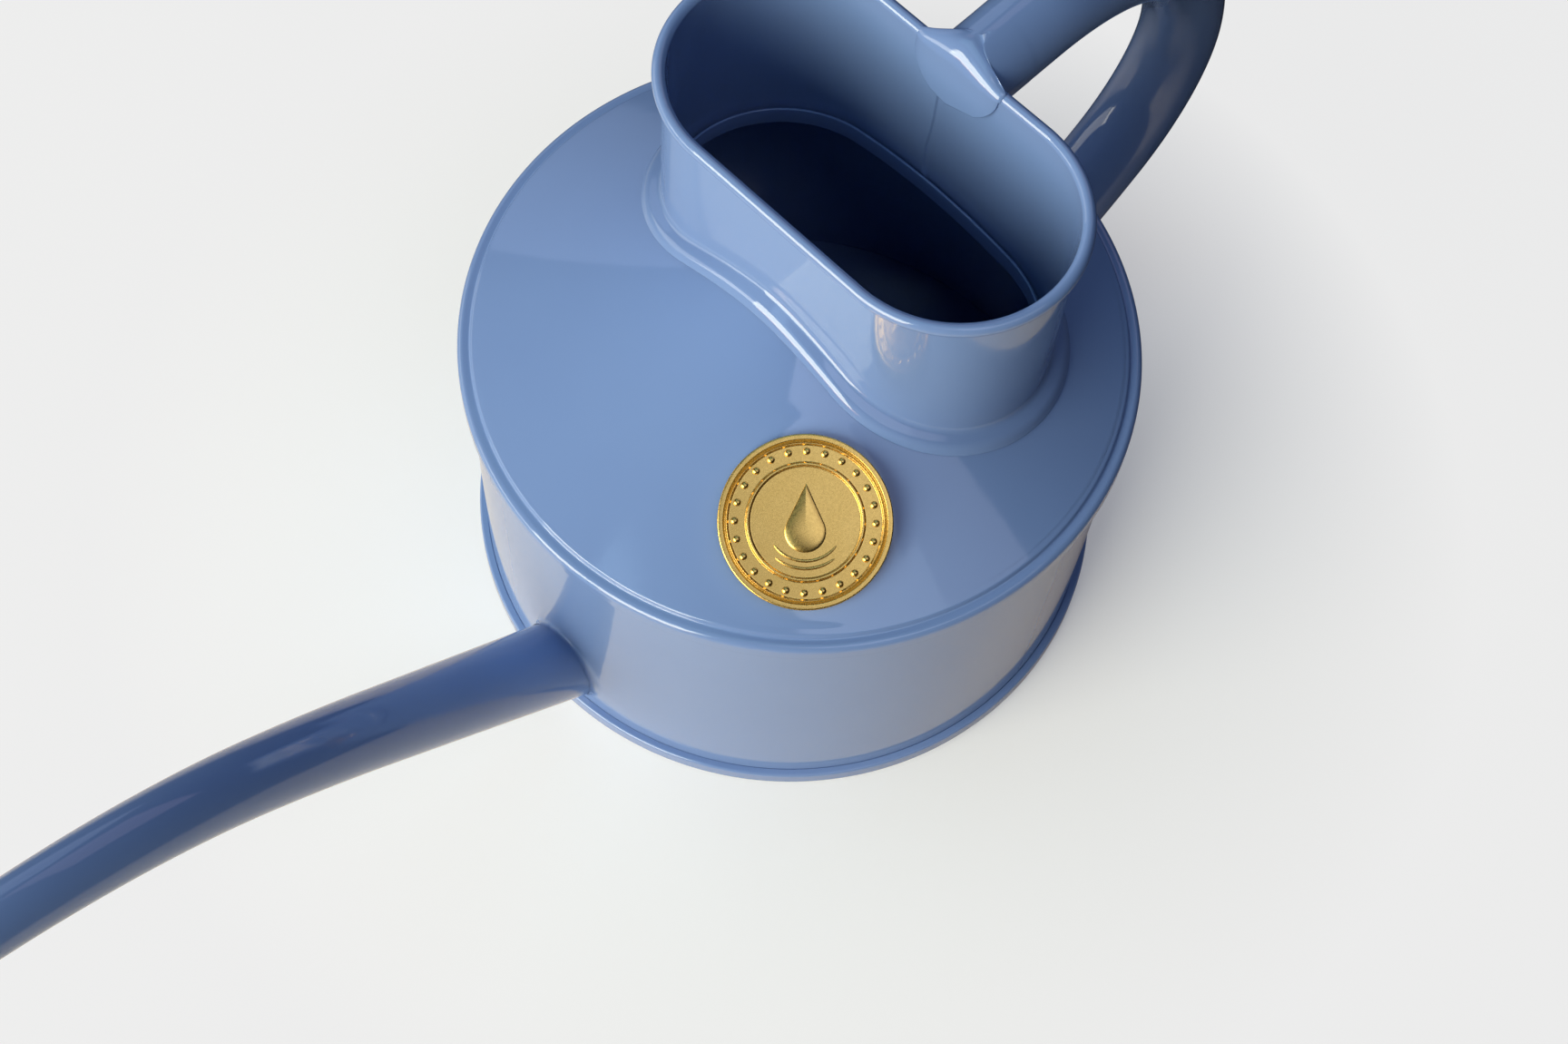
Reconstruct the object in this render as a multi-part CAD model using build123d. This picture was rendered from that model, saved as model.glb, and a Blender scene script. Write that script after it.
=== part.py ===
from build123d import *
import math
import os

# Small indoor watering can of formed sheet steel, all sizes in millimetres.
# The origin is on the drum's axis, in the plane that the can stands on. +Z is up and +X points along
# the spout, so the handle is on the -X side. The neck is a stadium in plan, with its long axis along Y.

os.makedirs("parts", exist_ok=True)

# --- Sheet ---
sheet = 0.6  # steel sheet of the drum, the cone and the neck
tube_wall = 0.7  # drawn tube of the spout and the handle
fit = 0.05  # clearance between a seam's layers, and round the wire in the rim
same = 0.01  # sizes that differ by less are the same size

# --- Drum ---
wall_radius = 51.2  # outside of the drum's wall
drum_height = 56.0  # top of the shoulder seam
seam_reach = 1.3  # how far both seams stand out from the wall
seam_height = 3.0
shoulder_round = 0.8  # outer corners of the shoulder seam
base_round = 0.4  # outer corners of the base seam
hook_height = 1.5  # turned edge of the wall inside each seam
hook_thickness = 0.3  # that edge is rolled thinner than the sheet
floor_recess = 2.4  # underside of the pan's floor above the table
pan_corner = 1.0  # bend between the pan's floor and its upstand
wall_lap = 6.0  # overlap of the wall's sheet at the back
wall_lap_depth = 0.5

# --- Shoulder cone ---
cone_slope = math.tan(math.radians(23.5))
cone_foot_inset = 0.9  # from the wall's outside in to the step between cone and seam
cone_step = 0.6  # height of that step
hole_lip = 1.4  # edge of the neck hole, turned up inside the neck

# --- Neck ---
neck_x = -10.9  # centre of the neck
neck_straight = 31.4  # length of the neck's straight sides
neck_inside = 17.9  # inside radius of its ends
neck_height = 41.6  # top of the rim above the shoulder seam
curl_radius = 1.0  # outside radius of the rolled rim
curl_wall = 0.4  # sheet of the neck, thinned where it is rolled
foot_radius = 21.6  # outer edge of the flared foot
foot_thickness = 0.9
foot_flare = 1.6  # concave radius between the neck's wall and its foot
neck_lap = 7.0  # overlap of the neck's sheet, inside at the back
neck_lap_edge = -1.2  # where the lap's edge lies across the can
neck_lap_depth = 0.5

# --- Handle ---
handle_drop = 3.5  # from the rim's top down to the tube's centre line
handle_foot_height = 13.5  # where the centre line meets the drum's wall
handle_radius_top = 6.4
handle_radius_foot = 7.0
handle_straight = 14.8  # level run behind the neck
handle_crown_turn = 82.0  # degrees of the bend above the grip
handle_back_turn = 62.0  # degrees of the bend below it
handle_foot_turn = 13.0  # degrees of the last bend, on the way to the wall
handle_foot_bend = 111.0  # radius of the last bend
handle_foot_run = 5.1  # straight run between the last bend and the wall
saddle_half_width = 8.3  # the tube's mouth, spread over the rim
saddle_rise = 0.8  # top of the mouth above the rim's top
saddle_drop = 9.7  # bottom of the mouth below the rim's top
saddle_length = 9.0  # from the mouth to the round tube
tab_half_width = 8.0  # tongue folded down inside the neck
tab_depth = 10.3  # from the rim's top to the tongue's tip
tab_thickness = 0.6

# --- Spout ---
spout_height = 12.7  # where the spout's centre line meets the drum's wall
spout_rise = 43.1  # degrees above the table
spout_straight = 48.5
spout_first_bend = 312.0  # radius of the slow bend after the straight
spout_first_turn = 4.5  # degrees
spout_last_bend = 125.0  # radius of the bend to the level tip
spout_last_turn = 38.6  # degrees
spout_radius_root = 6.75
spout_radius_tip = 3.5
tip_ring_radius = 0.7  # wire brazed round the spout's mouth
spout_hole_margin = 0.3  # the hole in the wall is this much smaller than the bore

# --- Solder ---
spout_bead = 1.2
foot_bead = 1.4
neck_bead = 1.2

# --- Badge ---
badge_radius = 12.7
badge_thickness = 1.0
badge_inset = 15.9  # from the wall's outside in to the badge's centre
badge_turn = 45.0  # degrees from the spout
badge_standoff = 0.25  # pad between cone and badge, where it is thinnest
badge_pad_margin = 0.8
badge_rim_width = 0.9
badge_ring_radius = 8.6
badge_ring_width = 0.5
badge_relief = 0.3
pellet_radius = 0.55
pellet_count = 24
drop_radius = 3.0
drop_tip = 7.0
drop_lower = 1.4  # the drop's round part lies this far below the badge's centre

# Sizes that follow from those above
wall_inside = wall_radius - sheet
seam_radius = wall_radius + seam_reach
cone_foot_radius = wall_radius - cone_foot_inset
cone_foot_z = drum_height + cone_step
neck_top = drum_height + neck_height
neck_outside = neck_inside + sheet
neck_back = neck_x - neck_outside
neck_back_inside = neck_x - neck_inside
half_straight = neck_straight / 2
curl_centre = neck_inside + curl_radius
curl_centre_z = neck_top - curl_radius
curl_back = neck_x - curl_centre
handle_height = neck_top - handle_drop
badge_reach = wall_radius - badge_inset


def cone_z(radius):
    """Height of the cone's outer skin at a distance from the drum's axis."""
    return cone_foot_z + cone_slope * (cone_foot_radius - radius)


def turned(points):
    """A ring or disc, from a closed outline of (radius, height) points."""
    return revolve(make_face(Plane.XZ * Polyline(*points, close=True)), Axis.Z)


def under_cone(offset):
    """Everything that lies below the cone's outer skin moved up by offset."""
    top = cone_z(0) + offset
    edge = cone_z(seam_radius) + offset
    return turned([(0, 0), (seam_radius, 0), (seam_radius, edge), (0, top)])


def neck_prism(radius, low, high):
    """A solid stadium round the neck's centre."""
    plan = SlotCenterToCenter(neck_straight, 2 * radius, rotation=90)
    return extrude(Pos(neck_x, 0, low) * plan, high - low)


def around_neck(section):
    """Carries a section round the neck. In the section, X is the distance out from the neck's spine."""
    placed = Pos(neck_x, half_straight, 0) * (Plane.XZ * section)
    side = extrude(placed, neck_straight, dir=(0, -1, 0))
    end = revolve(placed, Axis((neck_x, half_straight, 0), (0, 0, 1)), 180)
    across = Plane.YZ.offset(neck_x)
    return side + mirror(side, across) + end + mirror(end, Plane.XZ)


def walk(start, heading, legs):
    """The centre line of a bent tube in the XZ plane, as a function from length along it to (x, z, heading).

    Each leg is (length, turn), with the turn in radians. Angles are measured from +X towards +Z.
    """

    def at(length):
        x, z = start
        angle = heading
        for leg, turn in legs:
            part = min(length, leg)
            swept = turn * part / leg
            chord = 2 * part / swept * math.sin(swept / 2) if swept else part
            x += chord * math.cos(angle + swept / 2)
            z += chord * math.sin(angle + swept / 2)
            angle += swept
            length -= part
        return x, z, angle

    return at


def bend_leg(radius, turn):
    """A bend as a leg for walk. turn is in radians, and positive to the left."""
    return radius * abs(turn), turn


def bend_reach(before, after):
    """How far a bend of radius 1 goes, along X and Z, as it turns left from one heading to another."""
    return Vector(math.sin(after) - math.sin(before), math.cos(before) - math.cos(after))


def tube_section(place, radius):
    """A round section square to the centre line."""
    x, z, angle = place
    along = (math.cos(angle), 0, math.sin(angle))
    return Plane((x, 0, z), x_dir=(0, 1, 0), z_dir=along) * Circle(radius)


def export(solid, name):
    export_step(solid, f"parts/{name}.step")


# --- Drum ---


def base_pan():
    """Recessed floor, with a seam that wraps round the wall's lower hook."""
    floor_top = floor_recess + sheet
    upstand = wall_inside - fit
    outline = [
        (0, floor_recess),
        (upstand - sheet - pan_corner, floor_recess),
        (upstand - sheet, floor_recess - pan_corner),
        (upstand - sheet, 0),
        (seam_radius, 0),
        (seam_radius, seam_height),
        (wall_radius + fit, seam_height),
        (wall_radius + fit, seam_height - sheet),
        (seam_radius - sheet, seam_height - sheet),
        (seam_radius - sheet, sheet),
        (upstand, sheet),
        (upstand, floor_top),
        (0, floor_top),
    ]
    pan = turned(outline)
    corners = pan.edges().filter_by(GeomType.CIRCLE)
    outer = [e for e in corners if abs(e.radius - seam_radius) < same]
    return fillet(outer, base_round)


def wall_flange(height, toward):
    """The wall's edge turned out and back inside a seam. toward is +1 or -1, the way the hook points along Z."""
    reach = seam_radius - sheet - fit
    hook = reach - hook_thickness
    edge = height + toward * hook_height
    flat = height + toward * sheet
    outline = [
        (wall_inside, height),
        (reach, height),
        (reach, edge),
        (hook, edge),
        (hook, flat),
        (wall_inside, flat),
    ]
    return turned(outline)


def drum_wall(spout_bore):
    """Rolled wall with a lapped side seam at the back, and the hole that feeds the spout."""
    low = sheet + fit
    high = drum_height - sheet - fit
    wall = turned([(wall_inside, low), (wall_radius, low), (wall_radius, high), (wall_inside, high)])
    wall += wall_flange(low, 1) + wall_flange(high, -1)
    lap_low = floor_recess + sheet + fit
    lap_ring = Circle(wall_inside) - Circle(wall_inside - wall_lap_depth)
    lap = Pos(0, 0, lap_low) * extrude(lap_ring, high - lap_low)
    lap &= Pos(-wall_inside, 0, 0) * Box(2 * wall_lap, wall_lap, 2 * high)
    return wall + lap - spout_bore


def seam_seal(height, toward):
    """Sealing compound that fills a seam, between the wall and the hook."""
    low = height + toward * (sheet + fit)
    high = height + toward * hook_height
    outer = seam_radius - sheet - fit - hook_thickness - fit
    inner = wall_radius + fit
    return turned([(inner, low), (outer, low), (outer, high), (inner, high)])


def shoulder_cone():
    """Conical top with a seam round its edge and an oval hole, whose edge is turned up inside the neck."""
    inner_foot = cone_foot_radius - sheet
    outline = [
        (0, cone_z(0) - sheet),
        (inner_foot, cone_z(inner_foot) - sheet),
        (inner_foot, drum_height - sheet),
        (seam_radius - sheet, drum_height - sheet),
        (seam_radius - sheet, drum_height - seam_height + sheet),
        (wall_radius + fit, drum_height - seam_height + sheet),
        (wall_radius + fit, drum_height - seam_height),
        (seam_radius, drum_height - seam_height),
        (seam_radius, drum_height),
        (cone_foot_radius, drum_height),
        (cone_foot_radius, cone_foot_z),
        (0, cone_z(0)),
    ]
    cone = turned(outline)
    corners = cone.edges().filter_by(GeomType.CIRCLE)
    outer = [e for e in corners if abs(e.radius - seam_radius) < same]
    cone = fillet(outer, shoulder_round)
    lip_outside = neck_inside - fit
    lip_inside = lip_outside - sheet
    top = cone_z(0) + hole_lip
    lip = neck_prism(lip_outside, 0, top) & (under_cone(hole_lip) - under_cone(-sheet))
    return cone + lip - neck_prism(lip_inside, 0, top)


# --- Neck ---


def on_foot_corner(edge):
    """Whether an edge lies where the neck's wall meets the top of its foot."""
    middle = edge @ 0.5
    foot_top = cone_z(math.hypot(middle.X, middle.Y)) + foot_thickness
    return abs(stadium_distance(middle) - neck_outside) < same and abs(middle.Z - foot_top) < fit


def neck_lap_strip():
    """Extra thickness inside the neck, from the lap's edge to where it has faded into the sheet."""
    buried = -sheet / 2
    faded = (buried, neck_lap_edge - neck_lap)
    plan = Polyline(faded, (neck_lap_depth, neck_lap_edge), (buried, neck_lap_edge), close=True)
    strip = extrude(make_face(plan), curl_centre_z)
    return Pos(neck_back_inside, 0, 0) * strip - under_cone(hole_lip + fit) - rim_tab()


def neck_collar():
    """Stadium collar: flared foot on the cone, upright wall, edge rolled outwards over a wire."""
    rim = Pos(curl_centre, curl_centre_z) * Circle(curl_radius)
    channel = Pos(curl_centre, curl_centre_z) * Circle(curl_radius - curl_wall)
    low = cone_z(seam_radius)
    room = neck_prism(neck_inside, low, curl_centre_z)
    wall = neck_prism(neck_outside, low, curl_centre_z) - room - under_cone(0)
    foot = neck_prism(foot_radius, low, curl_centre_z) & (under_cone(foot_thickness) - under_cone(0))
    collar = wall + (foot - room)
    collar = fillet(collar.edges().filter_by(on_foot_corner), foot_flare)
    return collar + around_neck(rim) + neck_lap_strip() - around_neck(channel)


def stadium_distance(point):
    """Distance of a point from the neck's spine, seen from above."""
    across = point.X - neck_x
    beyond = max(abs(point.Y) - half_straight, 0)
    return math.hypot(across, beyond)


def rim_wire():
    """Steel wire inside the rolled rim."""
    return around_neck(Pos(curl_centre, curl_centre_z) * Circle(curl_radius - curl_wall - fit))


# --- Tubes ---


def drum_cylinder(radius):
    """A solid as wide as the drum's wall that reaches well past the table, to trim what stands on the wall."""
    return extrude(Pos(0, 0, -drum_height) * Circle(radius), 2 * drum_height)


def bent_rod(start, heading, legs, radius_at):
    """A round rod along straight and bent legs, its radius given by its length along the centre line."""
    at = walk(start, heading, legs)
    rod = None
    begin = 0.0
    for length, turn in legs:
        first, last = (tube_section(at(s), radius_at(s)) for s in (begin, begin + length))
        if turn:
            x, z, angle = at(begin)
            end_x, end_z, _ = at(begin + length)
            along = (math.cos(angle), 0, math.sin(angle))
            path = TangentArc((x, 0, z), (end_x, 0, end_z), tangent=along)
            leg = sweep([first, last], path=path, multisection=True)
        else:
            leg = loft([first, last])
        rod = rod + leg if rod else leg
        begin += length
    return rod


def spout_rod(inset):
    """The spout as a solid tapered rod, thinner by inset all round, and the place of its tip."""
    rise, first, last = (math.radians(angle) for angle in (spout_rise, spout_first_turn, spout_last_turn))
    buried = 2 * spout_radius_root
    start = (wall_radius - buried * math.cos(rise), spout_height - buried * math.sin(rise))
    legs = [
        (buried + spout_straight, 0),
        bend_leg(spout_first_bend, -first),
        bend_leg(spout_last_bend, -last),
    ]
    whole = sum(length for length, _ in legs)
    taper = (spout_radius_root - spout_radius_tip) / (whole - buried)
    rod = bent_rod(start, rise, legs, lambda s: spout_radius_root - taper * (s - buried) - inset)
    return rod, walk(start, rise, legs)(whole)


def spout_tube(rod, bore):
    """Tapered spout, open at its tip and let on to the drum's wall."""
    return rod - drum_cylinder(wall_radius) - bore


def tip_ring(tip):
    """Wire ring brazed round the spout's mouth."""
    x, z, angle = tip
    along = Vector(math.cos(angle), 0, math.sin(angle))
    ring = Plane(Vector(x, 0, z) - along * tip_ring_radius, x_dir=(0, 1, 0), z_dir=along)
    return ring * Torus(spout_radius_tip + tip_ring_radius, tip_ring_radius)


def handle_legs():
    """Straight and bent legs of the handle, from the neck to the drum's wall.

    Its two large bends are as wide as the places of its ends ask.
    """
    turns = [math.radians(angle) for angle in (handle_crown_turn, handle_back_turn, handle_foot_turn)]
    at_crown = math.pi
    at_back = at_crown + turns[0]
    at_foot = at_back + turns[1]
    at_wall = at_foot + turns[2]
    crown = bend_reach(at_crown, at_back)
    back = bend_reach(at_back, at_foot)
    ends = Vector(-wall_radius - neck_back, handle_foot_height - handle_height)
    run = Vector(math.cos(at_wall), math.sin(at_wall)) * handle_foot_run
    known = bend_reach(at_foot, at_wall) * handle_foot_bend + run - Vector(handle_straight, 0)
    open_part = ends - known
    crown_radius = open_part.cross(back).Z / crown.cross(back).Z
    back_radius = crown.cross(open_part).Z / crown.cross(back).Z
    radii = (crown_radius, back_radius, handle_foot_bend)
    return [(handle_straight, 0)] + [bend_leg(r, t) for r, t in zip(radii, turns)] + [(handle_foot_run, 0)]


def handle_rod(inset):
    """The handle as a solid rod, thinner by inset all round, its mouth spread where it meets the neck."""
    legs = handle_legs()
    whole = sum(length for length, _ in legs)
    growth = (handle_radius_foot - handle_radius_top) / whole
    buried = 2 * handle_radius_foot
    legs[0] = (handle_straight - saddle_length, 0)
    legs[-1] = (handle_foot_run + buried, 0)

    def radius_at(length):
        return handle_radius_top + growth * (saddle_length + length) - inset

    start = (neck_back - saddle_length, handle_height)
    rod = bent_rod(start, math.pi, legs, radius_at)
    half_height = (saddle_rise + saddle_drop) / 2
    mouth_place = (neck_back + sheet, 0, neck_top + saddle_rise - half_height)
    mouth = Plane(mouth_place, x_dir=(0, 1, 0), z_dir=(-1, 0, 0))
    mouth_face = mouth * Ellipse(saddle_half_width - inset, half_height - inset)
    return rod + loft([mouth_face, tube_section((*start, math.pi), radius_at(0))])


def rim_tab():
    """Tongue of the handle: over the rolled rim and down inside the neck."""
    outer = curl_radius + tab_thickness
    over = Pos(curl_back, curl_centre_z) * (Circle(outer) - Circle(curl_radius))
    over &= Pos(curl_back, curl_centre_z + outer) * Rectangle(2 * outer, 2 * outer)
    tip = neck_top - tab_depth
    down = Pos(neck_back_inside + tab_thickness / 2, (curl_centre_z + tip) / 2) * Rectangle(
        tab_thickness, curl_centre_z - tip
    )
    strip = extrude(Plane.XZ * (over + down), tab_half_width, both=True)
    outline = Plane.YZ * (
        Pos(0, curl_centre_z) * Ellipse(tab_half_width, curl_centre_z - tip)
        + Pos(0, curl_centre_z + outer) * Rectangle(2 * tab_half_width, 2 * outer)
    )
    return strip & extrude(Pos(curl_back, 0, 0) * outline, tab_depth, both=True)


def handle_tube():
    """Bent tube from the neck's rim to the drum's wall, with the tongue that hooks it over the rim."""
    rim = around_neck(Pos(curl_centre, curl_centre_z) * Circle(curl_radius))
    neck = neck_prism(neck_outside, 0, curl_centre_z) + rim
    tube = handle_rod(0) - drum_cylinder(wall_radius) - neck - handle_rod(tube_wall)
    return tube + rim_tab()


def solder_bead(rod, body, size):
    """Concave bead of solder in the corner where a rod stands on a body."""
    joined = body + rod
    corner = new_edges(body, rod, combined=joined)
    return fillet(corner, size) - joined


def spout_solder(rod):
    """Bead round the spout's root."""
    return solder_bead(rod, drum_cylinder(wall_radius), spout_bead)


def handle_foot_solder():
    """Bead round the handle's foot."""
    return solder_bead(handle_rod(0), drum_cylinder(wall_radius), foot_bead)


def handle_neck_solder():
    """Bead under the rim, round the handle's mouth."""
    neck = neck_prism(neck_outside, 0, drum_height + neck_top)
    bead = solder_bead(handle_rod(0), neck, neck_bead)
    return bead & neck_prism(foot_radius + handle_straight, 0, neck_top - 2 * curl_radius - fit)


# --- Badge ---


def badge_plane():
    """The plane of the badge's back. Its X runs round the cone and its Y up the slope."""
    turn = math.radians(badge_turn)
    slope = math.atan(cone_slope)
    outward = Vector(math.sin(slope) * math.cos(turn), math.sin(slope) * math.sin(turn), math.cos(slope))
    foot = Vector(badge_reach * math.cos(turn), badge_reach * math.sin(turn), cone_z(badge_reach))
    along = (-math.sin(turn), math.cos(turn), 0)
    return Plane(foot + outward * badge_standoff, x_dir=along, z_dir=outward)


def drop_outline():
    """A plain drop of water: a circle drawn up to a point."""
    lean = math.asin(drop_radius / drop_tip)
    side = (drop_radius * math.cos(lean), drop_radius * math.sin(lean))
    other = (-side[0], side[1])
    point = (0, drop_tip)
    return make_face(Line(point, side) + ThreePointArc(side, (0, -drop_radius), other) + Line(other, point))


def ring(radius, width):
    return Circle(radius) - Circle(radius - width)


def badge_plate():
    """Brass disc with a raised rim, an inner ring, a circle of pellets and a plain drop."""
    relief = ring(badge_radius, badge_rim_width) + ring(badge_ring_radius, badge_ring_width)
    pellet_circle = (badge_radius - badge_rim_width + badge_ring_radius) / 2
    relief += PolarLocations(pellet_circle, pellet_count) * Circle(pellet_radius)
    relief += Pos(0, -drop_lower) * drop_outline()
    disc = extrude(Circle(badge_radius), badge_thickness)
    return badge_plane() * (disc + Pos(0, 0, badge_thickness) * extrude(relief, badge_relief))


def badge_pad():
    """Adhesive pad that fills the space between the flat badge and the cone."""
    column = extrude(Circle(badge_radius - badge_pad_margin), -badge_radius)
    return badge_plane() * column - under_cone(0)


spout_outside, spout_tip = spout_rod(0)
spout_bore, _ = spout_rod(tube_wall)
wall_hole, _ = spout_rod(tube_wall + spout_hole_margin)

export(base_pan(), "base_pan")
export(drum_wall(wall_hole), "drum_wall")
export(seam_seal(sheet + fit, 1), "base_seam_seal")
export(seam_seal(drum_height - sheet - fit, -1), "shoulder_seam_seal")
export(shoulder_cone(), "shoulder_cone")
export(neck_collar(), "neck_collar")
export(rim_wire(), "rim_wire")
export(spout_tube(spout_outside, spout_bore), "spout_tube")
export(tip_ring(spout_tip), "spout_tip_ring")
export(handle_tube(), "handle_tube")
export(spout_solder(spout_outside), "spout_solder")
export(handle_foot_solder(), "handle_foot_solder")
export(handle_neck_solder(), "handle_neck_solder")
export(badge_plate(), "badge_plate")
export(badge_pad(), "badge_pad")
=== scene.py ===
import math

import bmesh
import bpy
import numpy as np
from mathutils import Matrix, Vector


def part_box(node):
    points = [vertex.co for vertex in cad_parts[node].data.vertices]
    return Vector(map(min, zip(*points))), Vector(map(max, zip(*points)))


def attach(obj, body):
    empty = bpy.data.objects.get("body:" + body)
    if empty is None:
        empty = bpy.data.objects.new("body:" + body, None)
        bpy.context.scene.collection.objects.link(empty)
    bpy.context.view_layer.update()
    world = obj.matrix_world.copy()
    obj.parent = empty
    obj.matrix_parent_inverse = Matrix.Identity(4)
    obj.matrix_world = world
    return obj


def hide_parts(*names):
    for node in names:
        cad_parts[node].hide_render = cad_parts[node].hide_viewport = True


# The watering can's looks. The can's sizes are in millimetres until a mesh is made of them. The floor, the
# lamps and the camera are in metres.
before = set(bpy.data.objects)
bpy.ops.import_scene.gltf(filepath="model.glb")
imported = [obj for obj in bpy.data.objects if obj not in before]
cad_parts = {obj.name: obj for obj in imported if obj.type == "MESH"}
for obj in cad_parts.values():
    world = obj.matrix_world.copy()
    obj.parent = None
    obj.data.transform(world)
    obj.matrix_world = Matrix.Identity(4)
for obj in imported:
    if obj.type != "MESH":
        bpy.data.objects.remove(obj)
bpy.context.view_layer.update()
MM = 0.001


def cad(node):
    """A CAD node's lowest and highest corner, in millimetres."""
    low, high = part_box(node)
    return np.array(low) / MM, np.array(high) / MM


# --- Sizes that the frame gives ---
pan_high = cad("base_pan")[1]
cone_low = cad("shoulder_cone")[0]
neck_low, neck_high = cad("neck_collar")
wire_low, wire_high = cad("rim_wire")
seam_radius = pan_high[0]
seam_height = pan_high[2]
drum_height = cone_low[2] + seam_height
neck_x = (neck_low[0] + neck_high[0]) / 2
foot_radius = (neck_high[0] - neck_low[0]) / 2
half_straight = neck_high[1] - foot_radius
neck_top = neck_high[2]
curl_centre_z = (wire_low[2] + wire_high[2]) / 2
curl_radius = neck_top - curl_centre_z

# --- Sizes of the sheet metal ---
sheet = 0.6
wall_radius = 51.2
wall_inside = wall_radius - sheet
seam_inset = 0.65  # how far the wall's edge stays inside each seam
seam_clearance = 0.02  # between the wall's skin and a seam's inner end
pan_clearance = 0.05  # between the pan's upstand and the wall
floor_top = 3.0
floor_low = 2.4
cone_slope = math.tan(math.radians(23.5))
cone_foot = 50.3
cone_step = 0.6  # how high the cone's foot stands over the seam's top
cone_share = 0.96  # how far out the straight cone goes before its rounded edge
neck_inside = 17.9
neck_outside = neck_inside + sheet
curl_centre = neck_inside + curl_radius
foot_fillet = 0.8  # between the neck's wall and its flared foot
foot_gap = 0.14  # under the flared foot's edge
foot_height = 1.6
foot_edge_height = 1.32
foot_edge_round = 1.35
foot_edge_inset = 0.8
hole_inside = 16.75
hole_lip = 1.4  # how high the opening's lip stands over the cone
hole_sleeve = 2.2  # how deep it reaches below the cone's skin
lip_round = 0.29
lip_root = 0.3  # how far the lip's sleeve starts below the cone's inner skin
back_x = neck_x - neck_outside
back_inside_x = neck_x - neck_inside


def smooth(t):
    """An S-curve from 0 to 1, level at both ends."""
    t = np.clip(t, 0.0, 1.0)
    return t * t * (3 - 2 * t)


def cone_z(x, y):
    """Height of the cone's outer skin."""
    return drum_height + cone_step + cone_slope * (cone_foot - np.hypot(x, y))


# --- Where the badge sits ---
badge_radius = 12.7
badge_thickness = 1.0
badge_relief = 0.3
badge_turn = math.radians(45)
badge_inset = 15.9  # from the wall to the badge's middle, seen from above
badge_standoff = 0.25
swell_height = 0.14
swell_reach = 3.2
pad_margin = 0.8
badge_outward = np.array([cone_slope * math.cos(badge_turn), cone_slope * math.sin(badge_turn), 1.0])
badge_outward /= np.linalg.norm(badge_outward)
badge_across = np.array([-math.sin(badge_turn), math.cos(badge_turn), 0.0])
badge_up = np.cross(badge_outward, badge_across)
badge_foot = np.array([math.cos(badge_turn), math.sin(badge_turn), 0.0]) * (wall_radius - badge_inset)
badge_foot[2] = cone_z(badge_foot[0], badge_foot[1])


def swell(x, y):
    """A faint swelling of the cone under and round the badge."""
    away = np.hypot(x - badge_foot[0], y - badge_foot[1])
    return swell_height * (1 - smooth((away - badge_radius) / swell_reach))


# --- Meshes ---


def grid(rows, wrap_rows=False, wrap_columns=True):
    """Points and quads of a sheet of points with the shape (rows, columns, 3)."""
    rows = np.asarray(rows, float)
    count, width = rows.shape[:2]
    i = np.arange(count if wrap_rows else count - 1)[:, None]
    j = np.arange(width if wrap_columns else width - 1)[None, :]
    below, right = (i + 1) % count, (j + 1) % width
    quads = np.stack([i * width + j, i * width + right, below * width + right, below * width + j], -1)
    return rows.reshape(-1, 3), quads.reshape(-1, 4)


def joined(*parts):
    """Several (points, faces) as one."""
    points, faces, start = [], [], 0
    for some_points, some_faces in parts:
        points.append(some_points)
        faces.extend((np.asarray(some_faces) + start).tolist())
        start += len(some_points)
    return np.concatenate(points), faces


def piece(name, shape, material, nodes, sharp=40):
    """A smooth mesh object that stands for CAD nodes."""
    points, faces = shape
    mesh = bpy.data.meshes.new(name + "_skin")
    mesh.from_pydata((np.asarray(points) * MM).tolist(), [], [list(f) for f in faces])
    work = bmesh.new()
    work.from_mesh(mesh)
    bmesh.ops.remove_doubles(work, verts=work.verts, dist=0.0005 * MM)
    bmesh.ops.recalc_face_normals(work, faces=work.faces)
    work.to_mesh(mesh)
    work.free()
    mesh.shade_smooth()
    mesh.set_sharp_from_angle(angle=math.radians(sharp))
    obj = bpy.data.objects.new(name + "_skin", mesh)
    bpy.context.scene.collection.objects.link(obj)
    mesh.materials.append(material)
    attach(obj, "root")
    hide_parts(*nodes)
    return obj


def rounded(corners, closed=True, fine=9.0, reach=4.0):
    """A polyline from corners (x, y, radius), with arcs at the corners.

    fine is the most degrees from one point of an arc to the next. Straight stretches get a point close to
    each end, so that their shading stays flat, and points at most reach apart.
    """
    close = 0.12
    shortest = 0.5
    count = len(corners)
    runs = []
    for k, (x, y, radius) in enumerate(corners):
        here = np.array([x, y])
        if not closed and k in (0, count - 1):
            runs.append([here])
            continue
        before = np.array(corners[k - 1][:2]) - here
        after = np.array(corners[(k + 1) % count][:2]) - here
        before /= np.linalg.norm(before)
        after /= np.linalg.norm(after)
        opening = math.acos(np.clip(before @ after, -1, 1))
        if radius <= 0 or opening > math.pi - 0.01:
            runs.append([here])
            continue
        cut = radius / math.tan(opening / 2)
        start, end = here + before * cut, here + after * cut
        halfway = (before + after) / np.linalg.norm(before + after)
        middle = here + halfway * (radius / math.sin(opening / 2))
        turn = math.pi - opening
        steps = max(2, math.ceil(math.degrees(turn) / fine))
        first, last = start - middle, end - middle
        arc = []
        for t in np.linspace(0, 1, steps + 1):
            a, b = math.sin((1 - t) * turn), math.sin(t * turn)
            arc.append(middle + (a * first + b * last) / math.sin(turn))
        runs.append(arc)
    line = []
    for k, run in enumerate(runs):
        line.extend(run)
        if not closed and k == count - 1:
            break
        start, end = run[-1], runs[(k + 1) % count][0]
        length = np.linalg.norm(end - start)
        if length > shortest:
            points = max(2, math.ceil((length - 2 * close) / reach) + 1)
            inner = np.linspace(close, length - close, points)
            line.extend(start + (end - start) * d / length for d in inner)
    return np.array(line)


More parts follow.
